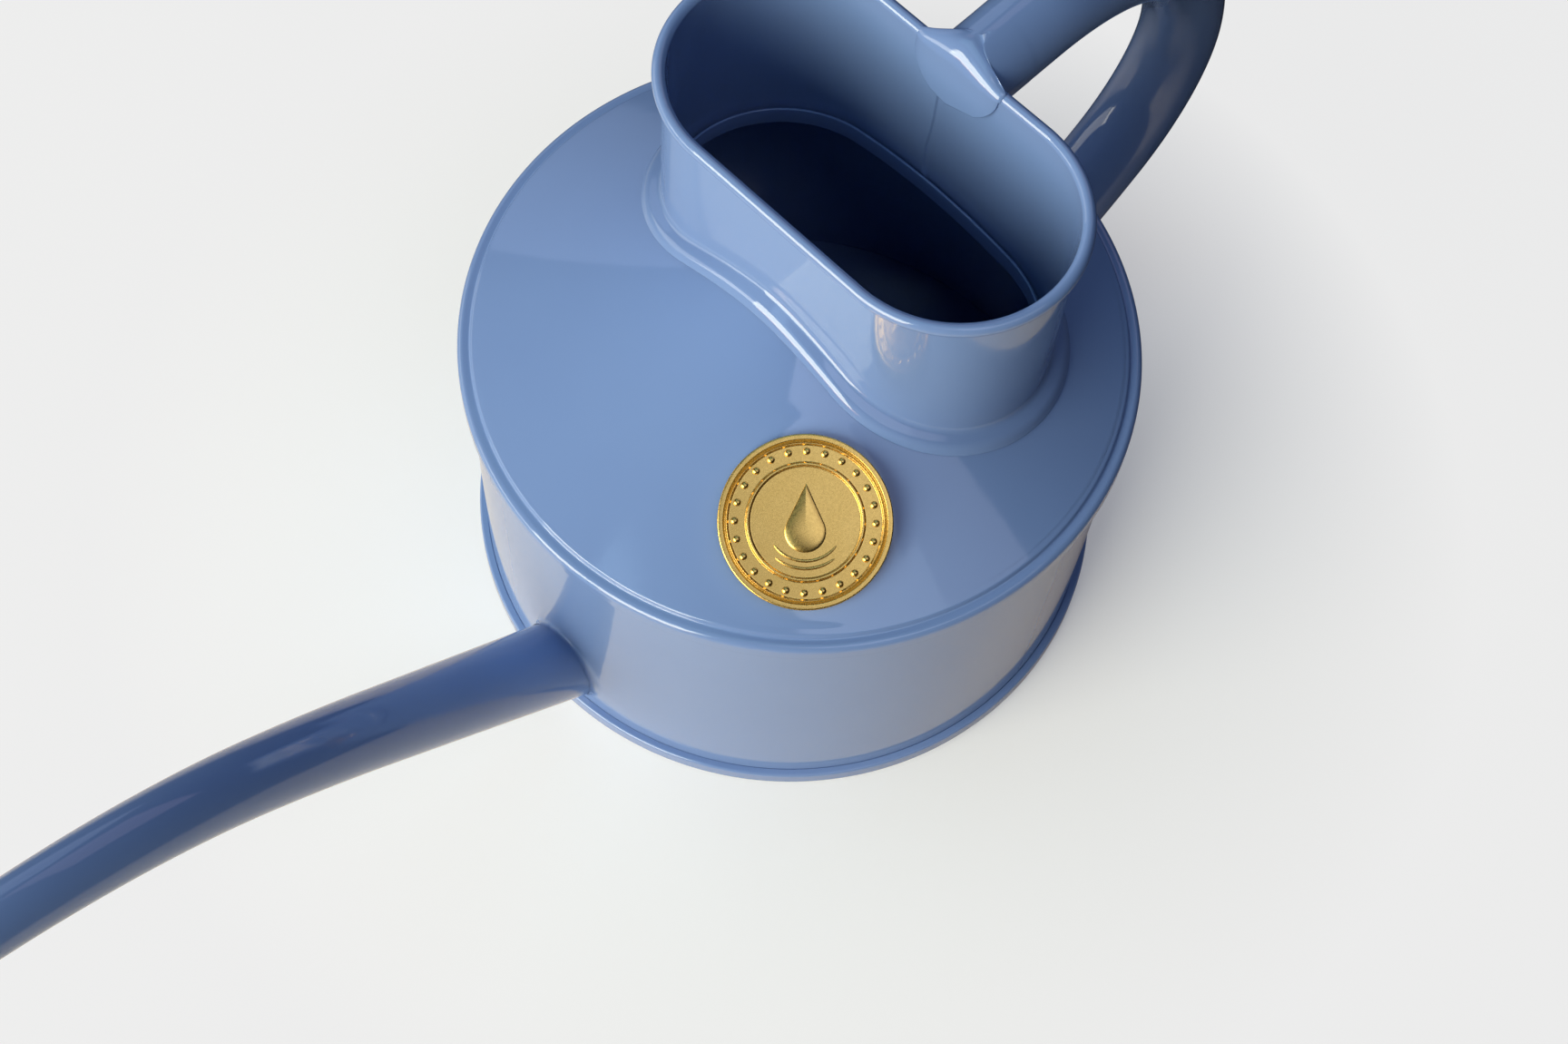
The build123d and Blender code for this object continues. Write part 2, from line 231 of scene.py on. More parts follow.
def lathe(outline, angles):
    """Rows of points of an outline of (radius, height), turned about the drum's axis."""
    r, z = outline[:, :1], outline[:, 1:]
    return np.stack([r * np.cos(angles), r * np.sin(angles), z + 0 * angles], -1)


# --- Materials ---


class Nodes:
    """A short way to write a node tree."""

    def __init__(self, name):
        self.material = bpy.data.materials.new(name)
        self.material.use_nodes = True
        self.tree = self.material.node_tree
        self.tree.nodes.clear()

    def add(self, kind, inputs=None, **values):
        node = self.tree.nodes.new(kind)
        for key, value in values.items():
            setattr(node, key, value)
        for key, value in (inputs or {}).items():
            self.put(node.inputs[key], value)
        return node

    def put(self, socket, value):
        if isinstance(value, bpy.types.NodeSocket):
            self.tree.links.new(value, socket)
        else:
            socket.default_value = value

    def noise(self, place, scale, detail=2.0, rough=0.5):
        inputs = {"Vector": place, "Scale": scale, "Detail": detail, "Roughness": rough}
        return self.add("ShaderNodeTexNoise", inputs).outputs["Fac"]

    def map(self, value, low, high, out_low, out_high):
        inputs = {"Value": value, 1: low, 2: high, 3: out_low, 4: out_high}
        return self.add("ShaderNodeMapRange", inputs).outputs["Result"]

    def math(self, kind, a, b=0.0):
        return self.add("ShaderNodeMath", {0: a, 1: b}, operation=kind).outputs[0]

    def mix(self, share, a, b):
        node = self.add("ShaderNodeMix", {"Factor": share, 6: a, 7: b}, data_type="RGBA")
        return node.outputs[2]

    def bump(self, height, distance, strength=1.0, normal=None):
        inputs = {"Height": height, "Distance": distance, "Strength": strength}
        if normal is not None:
            inputs["Normal"] = normal
        return self.add("ShaderNodeBump", inputs).outputs["Normal"]

    def surface(self, **inputs):
        shader = self.add("ShaderNodeBsdfPrincipled", {k.replace("_", " "): v for k, v in inputs.items()})
        self.add("ShaderNodeOutputMaterial", {"Surface": shader.outputs["BSDF"]})
        return self.material


def srgb(*display):
    """A linear colour from red, green and blue display values of 0 to 255."""
    linear = []
    for value in display:
        c = value / 255
        linear.append(c / 12.92 if c <= 0.04045 else ((c + 0.055) / 1.055) ** 2.4)
    return (*linear, 1)


def enamel():
    """Glossy blue stove enamel: uneven in colour, with faint orange peel and a few specks under the gloss."""
    speck_radius, speck_rarity = 0.035, 0.93
    n = Nodes("blue_enamel")
    place = n.add("ShaderNodeTexCoord").outputs["Object"]
    cloud = n.noise(place, 38.0, 3.0)
    blue = n.mix(cloud, srgb(108, 134, 183), srgb(114, 141, 189))
    cells = n.add("ShaderNodeTexVoronoi", {"Vector": place, "Scale": 150.0})
    small = n.math("LESS_THAN", cells.outputs["Distance"], speck_radius)
    lot = n.add("ShaderNodeSeparateColor", {0: cells.outputs["Color"]}).outputs[0]
    some = n.math("GREATER_THAN", lot, speck_rarity)
    speck = n.math("MULTIPLY", small, some)
    colour = n.mix(n.math("MULTIPLY", speck, 0.7), blue, srgb(205, 212, 222))
    peel = n.noise(place, 420.0, 1.0)
    waves = n.noise(place, 60.0, 1.0)
    normal = n.bump(waves, 0.00005, 0.25, n.bump(peel, 0.00001, 0.5))
    rough = n.map(n.noise(place, 90.0, 3.0), 0.3, 0.7, 0.05, 0.09)
    return n.surface(Base_Color=colour, Roughness=rough, IOR=1.6, Normal=normal)


def brass():
    """Satin stamped brass, with a fine grain and a faint unevenness."""
    n = Nodes("badge_brass")
    place = n.add("ShaderNodeTexCoord").outputs["Object"]
    grain = n.noise(place, 2600.0, 2.0)
    cloud = n.noise(place, 240.0, 3.0)
    colour = n.mix(cloud, srgb(230, 190, 108), srgb(223, 181, 97))
    rough = n.map(grain, 0.3, 0.7, 0.24, 0.3)
    normal = n.bump(grain, 0.000004, 0.3)
    return n.surface(Base_Color=colour, Metallic=1.0, Roughness=rough, Normal=normal)


def plain(name, colour, roughness, metallic=0.0, scale=900.0):
    """A quiet material for pieces that hardly show: mottled colour and a fine grain."""
    n = Nodes(name)
    place = n.add("ShaderNodeTexCoord").outputs["Object"]
    grain = n.noise(place, scale, 3.0)
    dark = tuple(c * 0.75 for c in colour[:3]) + (1,)
    return n.surface(
        Base_Color=n.mix(grain, dark, colour),
        Metallic=metallic,
        Roughness=n.map(grain, 0.3, 0.7, roughness - 0.08, roughness + 0.08),
        Normal=n.bump(grain, 0.00003, 0.5),
    )


blue_enamel = enamel()
badge_brass = brass()
seam_compound = plain("seam_compound", srgb(150, 148, 140), 0.7)
rim_steel = plain("rim_steel", srgb(170, 172, 176), 0.4, metallic=1.0)
pad_foam = plain("pad_foam", srgb(34, 34, 36), 0.8)

# --- Drum ---
round_angles = np.linspace(0, 2 * math.pi, 384, endpoint=False)


def base_pan():
    """The recessed floor, whose edge is folded out and up round the wall's foot."""
    upstand = wall_inside - pan_clearance
    seam_end = wall_radius + seam_clearance
    fold_top = seam_height - 0.5
    outline = rounded(
        [
            (0, floor_low, 0),
            (upstand - sheet, floor_low, 1.0),
            (upstand - sheet, 0, 0.25),
            (seam_radius, 0, 0.55),
            (seam_radius, seam_height, 0.45),
            (seam_end, seam_height, 0.1),
            (seam_end, fold_top, 0),
            (upstand, fold_top, 0),
            (upstand, floor_top, 0),
            (0, floor_top, 0),
        ],
        closed=False,
    )
    shape = grid(lathe(outline, round_angles))
    return piece("base_pan", shape, blue_enamel, ["base_pan"])


def drum_wall():
    """The rolled wall, whose edges are hidden in the two seams."""
    low, high = seam_inset, drum_height - seam_inset
    outline = rounded(
        [(wall_radius, low, 0), (wall_radius, high, 0), (wall_inside, high, 0), (wall_inside, low, 0)],
    )
    shape = grid(lathe(outline, round_angles), wrap_rows=True)
    return piece("drum_wall", shape, blue_enamel, ["drum_wall"])


# --- The neck's plan: a stadium, as points on its spine with the directions out from them ---


def stadium_columns(front, ends, back):
    """Spine points and outward directions round the neck, from lists of places along its parts."""
    spine, out = [], []
    for y in front:
        spine.append((neck_x, y))
        out.append((1.0, 0.0))
    for angle in ends:
        spine.append((neck_x, half_straight))
        out.append((math.cos(angle), math.sin(angle)))
    for y in back:
        spine.append((neck_x, y))
        out.append((-1.0, 0.0))
    for angle in ends:
        spine.append((neck_x, -half_straight))
        out.append((-math.cos(angle), -math.sin(angle)))
    return np.array(spine), np.array(out)


even_front = np.linspace(-half_straight, half_straight, 40)
even_ends = np.linspace(0, math.pi, 130)[1:-1]
even_spine, even_out = stadium_columns(even_front, even_ends, even_front[::-1])


def shoulder_cone():
    """The cone, from the lip of the tank's opening out to the seam that it folds round the wall's top."""
    hole = even_spine + even_out * (hole_inside + 2 * lip_round)
    centre = np.array([neck_x, 0.0])
    ray = hole - centre
    # where each ray from the neck's centre meets the cone's foot
    a, b = (ray**2).sum(1), 2 * (ray @ centre)
    far = (-b + np.sqrt(b * b - 4 * a * (centre @ centre - cone_foot**2))) / (2 * a)
    foot = centre + ray * far[:, None]
    angles = np.arctan2(foot[:, 1], foot[:, 0])

    def on_cone(share, rise):
        plan = hole + (foot - hole) * share
        x, y = plan.T
        return np.column_stack([plan, cone_z(x, y) + swell(x, y) + rise])

    def at_hole(offset, rise):
        plan = even_spine + even_out * offset
        return np.column_stack([plan, cone_z(plan[:, 0], plan[:, 1]) + rise])

    seam_low = drum_height - seam_height
    seam_end = wall_radius + seam_clearance
    foot_z = drum_height + cone_step
    edge = rounded(
        [
            (cone_foot - 1.0, foot_z + cone_slope, 0),
            (cone_foot, foot_z, 0.5),
            (cone_foot + 0.25, drum_height, 0.35),
            (seam_radius, drum_height, 1.0),
            (seam_radius, seam_low, 0.3),
            (seam_end, seam_low, 0.08),
            (seam_end, seam_low + sheet, 0),
            (cone_foot - sheet, drum_height - sheet, 0),
            (cone_foot - sheet - 1.0, foot_z - sheet + cone_slope, 0),
        ],
        closed=False,
    )
    rows = [on_cone(t, 0) for t in np.linspace(0.0, cone_share, 60)]
    rows += list(lathe(edge, angles))
    rows += [on_cone(t, -sheet) for t in np.linspace(cone_share, 0.1, 8)]
    rows.append(at_hole(hole_inside + 2 * lip_round, -sheet - lip_root))
    for turn in np.linspace(math.pi, 0, 9):
        across, down = lip_round * (1 - math.cos(turn)), lip_round * math.sin(turn)
        rows.append(at_hole(hole_inside + across, lip_round - hole_sleeve - down))
    for turn in np.linspace(0, math.pi, 11):
        across, up = lip_round * (1 - math.cos(turn)), lip_round * math.sin(turn)
        rows.append(at_hole(hole_inside + across, hole_lip - lip_round + up))
    shape = grid(rows, wrap_rows=True)
    return piece("shoulder_cone", shape, blue_enamel, ["shoulder_cone"])


# --- Neck ---
lap_heights = (63.0, 66.0, 69.0, 74.0, 78.0, 82.0)  # the lap's edge wanders across the can with height
lap_places = (-0.5, -1.9, -3.0, -3.2, -2.8, -2.6)
lap_width = 7.0
lap_depth = 0.3
lap_soft = 0.4  # over which distance the step at the lap's edge rises
lap_columns = np.arange(-4.6, 2.6, 0.08)  # close together, as the lap's edge wanders there
lap_field = (-4.8, 2.8)  # the wider columns of the flat back lie outside these places


def neck_collar():
    """The collar, from its flared foot up round the rim's roll and down its inner wall."""
    back_high = np.linspace(half_straight, lap_field[1], 24)
    back_low = np.linspace(lap_field[0], -half_straight, 24)
    back = np.concatenate([back_high, lap_columns[::-1], back_low])
    spine, out = stadium_columns(even_front, even_ends, back)
    behind = out[:, 0] < -0.999

    def at(offset, height=None, rise=None, share=1.0, lap=False):
        """A row at a distance from the spine, share of the way from rise above the cone to height."""
        plan = spine + out * offset
        z = height
        if rise is not None:
            over = cone_z(plan[:, 0], plan[:, 1]) + rise
            z = over if height is None else over + (height - over) * share
        z = z + np.zeros(len(plan))
        if lap:
            beside = np.interp(z, lap_heights, lap_places) - spine[:, 1]
            step = smooth(beside / lap_soft) * smooth(1 - beside / lap_width) * behind
            plan = plan - out * (step * lap_depth)[:, None]
        return np.column_stack([plan, z])

    foot = rounded(
        [
            (neck_inside, 0.0, 0),
            (foot_radius - 0.4, 0.0, 0),
            (foot_radius - 0.3, foot_gap, 0),
            (foot_radius + 0.05, foot_gap, 0.12),
            (foot_radius - foot_edge_inset, foot_edge_height, foot_edge_round),
            (neck_outside, foot_height, foot_fillet),
            (neck_outside, 3.2, 0),
        ],
        closed=False,
        fine=6.0,
    )
    rows = [at(offset, rise=rise) for offset, rise in foot]
    tuck = math.acos((curl_centre - neck_outside) / curl_radius)
    tuck_z = curl_centre_z - curl_radius * math.sin(tuck)
    outer_shares = [0.01, *np.linspace(0.05, 0.95, 14), 0.99]
    rows += [at(neck_outside, height=tuck_z, rise=foot[-1][1], share=t) for t in outer_shares]
    for turn in np.linspace(-(math.pi - tuck), math.pi, 40):
        z = curl_centre_z + curl_radius * math.sin(turn)
        rows.append(at(curl_centre + curl_radius * math.cos(turn), height=z))
    inner_shares = [0.995, *np.linspace(0.96, 0.02, 26)]
    rows += [at(neck_inside, height=curl_centre_z, rise=0.0, share=t, lap=True) for t in inner_shares]
    shape = grid(rows, wrap_rows=True)
    return piece("neck_collar", shape, blue_enamel, ["neck_collar"])


# --- Bent tubes ---


class Path:
    """A centre line of straight and bent legs (length, turn in degrees) in the XZ plane."""

    def __init__(self, start, heading, legs):
        self.start, self.heading, self.legs = start, math.radians(heading), legs
        self.length = sum(length for length, _ in legs)

    def at(self, s):
        """Places and headings at lengths s along the line, which runs on straight beyond both its ends."""
        s = np.asarray(s, float)
        x = self.start[0] + np.minimum(s, 0) * math.cos(self.heading)
        z = self.start[1] + np.minimum(s, 0) * math.sin(self.heading)
        angle = np.full(s.shape, self.heading)
        left = np.maximum(s, 0)
        for length, turn in self.legs:
            part = np.minimum(left, length)
            swept = math.radians(turn) * part / length
            chord = part * np.sinc(swept / 2 / math.pi)
            x = x + chord * np.cos(angle + swept / 2)
            z = z + chord * np.sin(angle + swept / 2)
            angle = angle + swept
            left = left - part
        return x + left * np.cos(angle), z + left * np.sin(angle), angle

    def ring(self, s, around, radius):
        """Points on the tube, and their outward directions. around is 0 towards +Y."""
        x, z, angle = self.at(s)
        above, aside = np.sin(around), np.cos(around)
        out = np.stack([-np.sin(angle) * above, aside + 0 * angle, np.cos(angle) * above], -1)
        centre = np.stack([x, 0 * x, z], -1)
        return centre + out * np.asarray(radius)[..., None], out

    def meets_drum(self, low, high, around, radius_at):
        """The length at which the tube's skin meets the drum's wall, by halving between low and high."""
        low, high = np.full(around.shape, float(low)), np.full(around.shape, float(high))
        inside_low = self._inside(low, around, radius_at)
        for _ in range(40):
            middle = (low + high) / 2
            same = self._inside(middle, around, radius_at) == inside_low
            low, high = np.where(same, middle, low), np.where(same, high, middle)
        return (low + high) / 2

    def _inside(self, s, around, radius_at):
        points, _ = self.ring(s, around, radius_at(s))
        return np.hypot(points[..., 0], points[..., 1]) < wall_radius


def bent(bends):
    """Legs of a path from bends of (radius, turn in degrees)."""
    return [(radius * math.radians(abs(turn)), turn) for radius, turn in bends]


around = np.linspace(0, 2 * math.pi, 112, endpoint=False)
bead_waves = ((3, 0.1, 1.0), (7, 0.07, 2.0), (13, 0.05, 0.0))  # waves in the length, share of the size, phase
bead_sunk = 0.1  # how far a bead's hidden side lies in the two pieces that it joins
bead_steps = 13


def solder(name, nodes, points, tube_out, along, on_body, size, closed=True):
    """A concave bead along the line where a tube stands on a body.

    points is that line, tube_out the tube's outward directions, along the tube's direction away from the
    body, and on_body moves points on to the body's skin and gives its outward directions.
    """
    _, body_out = on_body(points)
    if closed:
        tangent = np.roll(points, -1, 0) - np.roll(points, 1, 0)
    else:
        tangent = np.gradient(points, axis=0)
    tangent /= np.linalg.norm(tangent, axis=1)[:, None]
    up = np.cross(tangent, tube_out)
    up *= np.sign((up * along).sum(1))[:, None]
    aside = np.cross(tangent, body_out)
    aside *= np.sign((aside * tube_out).sum(1))[:, None]
    turn = np.linspace(0, 2 * math.pi, len(points), endpoint=False)
    uneven = 1.0
    for count, share, phase in bead_waves:
        uneven = uneven + share * np.sin(count * turn + phase)
    size = size * uneven
    top = points + up * size[:, None]
    foot, _ = on_body(points + aside * size[:, None])
    rows = [points - (tube_out + body_out) * bead_sunk]
    for t in np.linspace(0, 1, bead_steps):
        rows.append(top * (1 - t) ** 2 + points * 2 * t * (1 - t) + foot * t * t)
    shape = grid(rows, wrap_rows=True, wrap_columns=closed)
    return piece(name, shape, blue_enamel, nodes)


def on_drum(points):
    """The nearest points on the drum's wall, and its outward directions there."""
    out = points.copy()
    out[:, 2] = 0
    out /= np.linalg.norm(out, axis=1)[:, None]
    moved = out * wall_radius
    moved[:, 2] = points[:, 2]
    return moved, out


# --- Spout ---
spout_wall = 0.7
spout_root = 6.75
spout_tip = 3.5
spout_height = 12.7  # where its centre line leaves the wall
spout_heading = 43.1
spout_straight = 48.5
spout_bends = ((312.0, -4.5), (125.0, -38.6))
spout_wire = 0.7
spout_bead = 1.25
spout_search = 30  # how far before and after the wall the rings' meeting points are sought
spout = Path((wall_radius, spout_height), spout_heading, [(spout_straight, 0), *bent(spout_bends)])
spout_taper = (spout_root - spout_tip) / spout.length


def spout_radius(s):
    return spout_root - spout_taper * np.asarray(s)


def bore_radius(s):
    return spout_radius(s) - spout_wall


def spout_rings(start, radius_at, shares):
    """Rings at shares of the way from the drum's wall, met at lengths start, to the spout's mouth."""
    rings = []
    for share in shares:
        s = start + (spout.length - start) * share
        rings.append(spout.ring(s, around, radius_at(s))[0])
    return rings


def spout_tube():
    start = spout.meets_drum(-spout_search, spout_search, around, spout_radius)
    bore_start = spout.meets_drum(-spout_search, spout_search, around, bore_radius)
    shares = np.linspace(0, 1, 170)
    skin = spout_rings(start, spout_radius, shares)
    bore = spout_rings(bore_start, bore_radius, shares[::-2])
    shape = grid(skin + bore, wrap_rows=True)
    piece("spout_tube", shape, blue_enamel, ["spout_tube"])
    line, out = spout.ring(start, around, spout_radius(start))
    along = np.array([math.cos(spout.heading), 0, math.sin(spout.heading)])
    solder("spout_solder", ["spout_solder"], line, out, along, on_drum, spout_bead)


def spout_tip_ring():
    """The wire ring round the spout's mouth."""
    x, z, angle = (float(v) for v in spout.at(spout.length))
    wire = spout_wire
    along = np.array([math.cos(angle), 0, math.sin(angle)])
    centre = np.array([x, 0, z]) - along * wire
    _, out = spout.ring(np.full(around.shape, spout.length), around, np.ones(around.shape))
    rows = []
    for turn in np.linspace(0, 2 * math.pi, 24, endpoint=False):
        rows.append(centre + out * (spout_tip + wire + wire * math.cos(turn)) + along * wire * math.sin(turn))
    return piece("spout_tip_ring", grid(rows, wrap_rows=True), blue_enamel, ["spout_tip_ring"])


# --- Handle ---
handle_height = neck_top - 3.5
handle_top = 6.4
handle_foot = 7.0
handle_straight = 14.8
handle_bends = ((45.5, 82.0), (28.6, 62.0), (111.0, 13.0))
handle_end = 5.1  # the straight leg that ends at the wall
handle_search = 25
foot_bead = 1.4
neck_bead = 1.1
neck_bead_drop = 0.6  # how far below the roll's middle the bead under the rim starts
handle = Path(
    (back_x, handle_height),
    180.0,
    [(handle_straight, 0), *bent(handle_bends), (handle_end, 0)],
)
handle_around = np.linspace(0, 2 * math.pi, 160, endpoint=False)
saddle_length = 8.6  # of the stretch in which the round tube turns into the crest's shape
saddle_width = 8.65  # half the crest's width
saddle_bottom = neck_top - 9.7
saddle_middle = handle_height + 0.4
crisp_corner, soft_corner = 12.0, 6.0  # powers of the crest's upper corners, towards +Y and towards -Y
tab_half = 8.2
tab_y = -0.45
tab_thickness = 0.5
tab_depth = 9.0  # from the rim's top down to the tongue's end
tab_tilt = math.radians(6.0)
tab_stand = 1.0  # how far the tongue's end stands off the neck's inner wall
tab_edge = 0.4  # the width of its rounded edge
tab_underside = 0.7  # how far the rounded edge's underside reaches back
tab_sunk = 0.05  # how far the strip behind it lies in the neck's wall
fold_slack = 2.3  # how much looser than the rim's roll the tongue bends
flare_side = 1.6  # the length of the flare behind the crest, at its sides and in its middle
flare_top = 6.5
handle_aside = 0.4  # how far towards +Y the tube stands at the rim
hair = 0.03  # keeps the smooth skin within the frame's faceted one


def handle_radius(s):
    return handle_top - hair + (handle_foot - handle_top) * np.asarray(s) / handle.length


def handle_ring(s):
    """A ring of the handle. Its first quarter turn leads to the outside of the loop."""
    points = handle.ring(s, -handle_around, handle_radius(s))[0]
    points[..., 1] += handle_aside * (1 - np.clip(s / handle.length, 0, 1))
    return points


def tab_share(y):
    """1 in the tongue's middle and 0 at its sides, for places y across it."""
    return np.clip(1 - ((y - tab_y) / tab_half) ** 2, 0, 1)


def fold(y, lift):
    """How the tongue bends over the rim at places y across it, lifted off the rim's roll by lift.

    Gives the x of the bend's middle and its radius, then the length of the flat part below it and how far
    that part's foot stands out from upright.
    """
    across = tab_share(y)
    radius = curl_radius + lift + fold_slack * across**2
    down = (curl_centre_z - neck_top + tab_depth) * np.sqrt(across)
    tilt = tab_tilt * np.sqrt(across)
    bottom_x = back_inside_x + lift + tab_stand * across
    middle_x = bottom_x - down * np.sin(tilt) - radius * np.cos(tilt)
    return middle_x, radius, down, tilt


def crest_ring():
    """The ring in which the drawn-out tube passes over the rim, and its lift off the rim's roll."""
    c, s = np.cos(handle_around), np.sin(handle_around)
    corner = np.where(c > 0, crisp_corner, soft_corner)
    power = np.where(s > 0, corner, 2.0)
    y = tab_y + saddle_width * np.sign(c) * np.abs(c) ** (2 / power)
    rise = np.where(s > 0, neck_top + tab_thickness - saddle_middle, saddle_middle - saddle_bottom)
    z = saddle_middle + rise * np.sign(s) * np.abs(s) ** (2 / power)
    lift = np.maximum(z - neck_top, 0)
    middle_x, radius, _, _ = fold(y, lift)
    over = smooth((z - curl_centre_z) / curl_radius)
    wall_x = back_x + sheet / 3  # within the thickness of the neck's wall
    x = wall_x + (middle_x - wall_x) * over
    z = np.where(lift > 0, curl_centre_z + radius, z)
    return np.stack([x, y, z], -1), lift


def saddle_ring(back, crest):
    """A ring at a distance back behind the crest, on the way from the crest's shape to the round tube."""
    radius = float(handle_radius(saddle_length))
    c, s = np.cos(handle_around), np.sin(handle_around)
    tube = np.stack([back_x - back + 0 * c, handle_aside + radius * c, handle_height + radius * s], -1)
    sheet_end = crest - np.array([back, 0, 0])
    flare = flare_side + (flare_top - flare_side) * tab_share(crest[:, 1]) ** 2
    share = smooth(1 - back / flare)[:, None]
    return tube * (1 - share) + sheet_end * share


def tongue(crest_y, crest_lift):
    """The tongue's skin from the crest down the neck's inner wall, its rounded edge and a strip behind it."""
    middle_x, radius, down, tilt = fold(crest_y, crest_lift)
    turn = radius * (math.pi / 2 - tilt)

    def at(s, sunk):
        angle = np.minimum(s, turn) / radius
        drop = np.maximum(s - turn, 0)
        x = middle_x + (radius - sunk) * np.sin(angle) + drop * np.sin(tilt)
        z = curl_centre_z + (radius - sunk) * np.cos(angle) - drop * np.cos(tilt)
        return np.stack([x, crest_y, z], -1)

    rows = []
    edge_steps = 1 - 0.06 * np.cos(np.linspace(0.15, math.pi / 2, 9))
    steps = np.concatenate([np.linspace(0, 0.94, 44), edge_steps])
    for t in steps[1:]:
        left = np.clip((turn + down) * (1 - t) / tab_edge, 0, 1)
        rows.append(at((turn + down) * t, crest_lift * (1 - np.sqrt(1 - (1 - left) ** 2))))
    under = at(np.maximum(turn + down - tab_underside, 0), crest_lift)
    height = np.clip((under[:, 2] - curl_centre_z) / curl_radius, 0, 1)
    under[:, 0] = back_inside_x - tab_sunk - curl_radius * (1 - np.sqrt(1 - height**2))
    return rows + [under]


def handle_foot_bead(end):
    """The bead where the handle's lower end meets the wall, at lengths end round the tube."""
    foot = handle_ring(end)
    centre_x, centre_z, heading = (float(v) for v in handle.at(handle.length))
    away = -np.array([math.cos(heading), 0, math.sin(heading)])
    centre = np.array([centre_x, 0, centre_z])
    out = foot - centre
    out -= (out @ away)[:, None] * away
    out /= np.linalg.norm(out, axis=1)[:, None]
    solder("handle_foot_solder", ["handle_foot_solder"], foot, out, away, on_drum, foot_bead)


def handle_neck_bead(crest):
    """The bead under the rim, along the lower part of the handle's mouth."""
    low = np.flatnonzero(crest[:, 2] < curl_centre_z - neck_bead_drop)
    gaps = np.diff(low) > 1
    if np.any(gaps):
        low = np.roll(low, -int(np.argmax(gaps)) - 1)
    mouth = crest[low].copy()
    mouth[:, 0] = back_x
    out = mouth - np.array([back_x, 0, handle_height])
    out /= np.linalg.norm(out, axis=1)[:, None]
    away = np.array([-1.0, 0, 0])
    name = "handle_neck_solder"
    solder(name, [name], mouth, out, away, on_neck, neck_bead, closed=False)


def handle_tube():
    low, high = handle.length - handle_search, handle.length + handle_search
    end = handle.meets_drum(low, high, -handle_around, handle_radius)
    rings = [handle_ring(saddle_length + (end - saddle_length) * t) for t in np.linspace(1, 0, 200)]
    crest, lift = crest_ring()
    rings += [saddle_ring(saddle_length * t**1.5, crest) for t in np.linspace(1, 0, 50)[1:]]
    top = np.flatnonzero(lift > 0)
    tab = [crest[top], *tongue(crest[top, 1], lift[top])]
    shape = joined(grid(rings), grid(tab, wrap_columns=False))
    piece("handle_tube", shape, blue_enamel, ["handle_tube"])
    handle_foot_bead(end)
    handle_neck_bead(crest)


def on_neck(points):
    """The nearest points on the flat back of the neck, and its outward directions there."""
    moved = points.copy()
    moved[:, 0] = back_x
    return moved, np.tile([-1.0, 0.0, 0.0], (len(points), 1))


# --- Badge ---
badge_ridges = ((8.1, 8.6), (11.2, 11.5), (11.8, badge_radius))  # inner and outer radius of each
ridge_side = 0.12  # half the width of a ridge's sloping side
ridge_round = 0.12
ridge_root = 0.1
pellet_count = 24
pellet_radius = 0.55
pellet_place = 10.2
drop_radius = 3.0
drop_tip = 7.0
drop_y = -1.4
ripples = ((5.6, 0.95), (6.7, 0.7))  # radius, and half angle in radians
ripple_radius = 0.24
ripple_height = 0.2


def on_badge(x, y, height):
    """Points in the badge's own plane, at a height over its back, as points in space."""
    x, y, height = np.broadcast_arrays(x, y, height)
    along = x[..., None] * badge_across + y[..., None] * badge_up
    return badge_foot + along + (height[..., None] + badge_standoff) * badge_outward


def badge_disc():
    """The disc with its raised rim and ring, turned about its own middle."""
    top, relief = badge_thickness, badge_relief
    outline = [(0.0, top, 0)]
    for low, high in badge_ridges:
        outline += [(low - ridge_side, top, ridge_root), (low + ridge_side, top + relief, ridge_round)]
        if high < badge_radius:
            outline += [(high - ridge_side, top + relief, ridge_round), (high + ridge_side, top, ridge_root)]
    outline += [(badge_radius, top + relief, 0.22), (badge_radius, 0.0, 0.15), (0.0, 0.0, 0)]
    line = rounded(outline, closed=False, fine=15.0)
    angle = np.linspace(0, 2 * math.pi, 160, endpoint=False)
    r, z = line[:, :1], line[:, 1:]
    return grid(on_badge(r * np.cos(angle), r * np.sin(angle), z + 0 * angle))


def dome(x, y, outline, height, steps=7):
    """A low domed boss on the badge's field. outline holds its edge's x and y about its own middle."""
    rows = []
    for t in np.linspace(0, math.pi / 2, steps):
        shrunk = outline * math.cos(t)
        over = badge_thickness + height * math.sin(t)
        rows.append(on_badge(x + shrunk[:, 0], y + shrunk[:, 1], over))
    return grid(rows)


def drop_outline():
    """A plain drop of water: a circle drawn up to a point."""
    lean = math.asin(drop_radius / drop_tip)
    arc = np.linspace(lean, -math.pi - lean, 50)
    circle = drop_radius * np.column_stack([np.cos(arc), np.sin(arc)])
    point = np.array([[0.0, drop_tip]])
    side = [circle[-1] + (point[0] - circle[-1]) * t for t in np.linspace(0.08, 0.96, 14)]
    other = [point[0] + (circle[0] - point[0]) * t for t in np.linspace(0.04, 0.92, 14)]
    return np.concatenate([circle, side, point, other])


def ripple(radius, half_angle):
    """A thin raised arc under the drop."""
    rows = []
    turn = np.linspace(-half_angle, half_angle, 40) - math.pi / 2
    taper = np.sqrt(np.clip(1 - (np.linspace(-1, 1, 40)) ** 4, 0, 1))
    for t in np.linspace(0, math.pi, 7):
        r = radius + ripple_radius * math.cos(t) * taper
        h = badge_thickness + ripple_height * math.sin(t) * taper
        rows.append(on_badge(r * np.cos(turn), r * np.sin(turn), h))
    return grid(rows, wrap_columns=False)


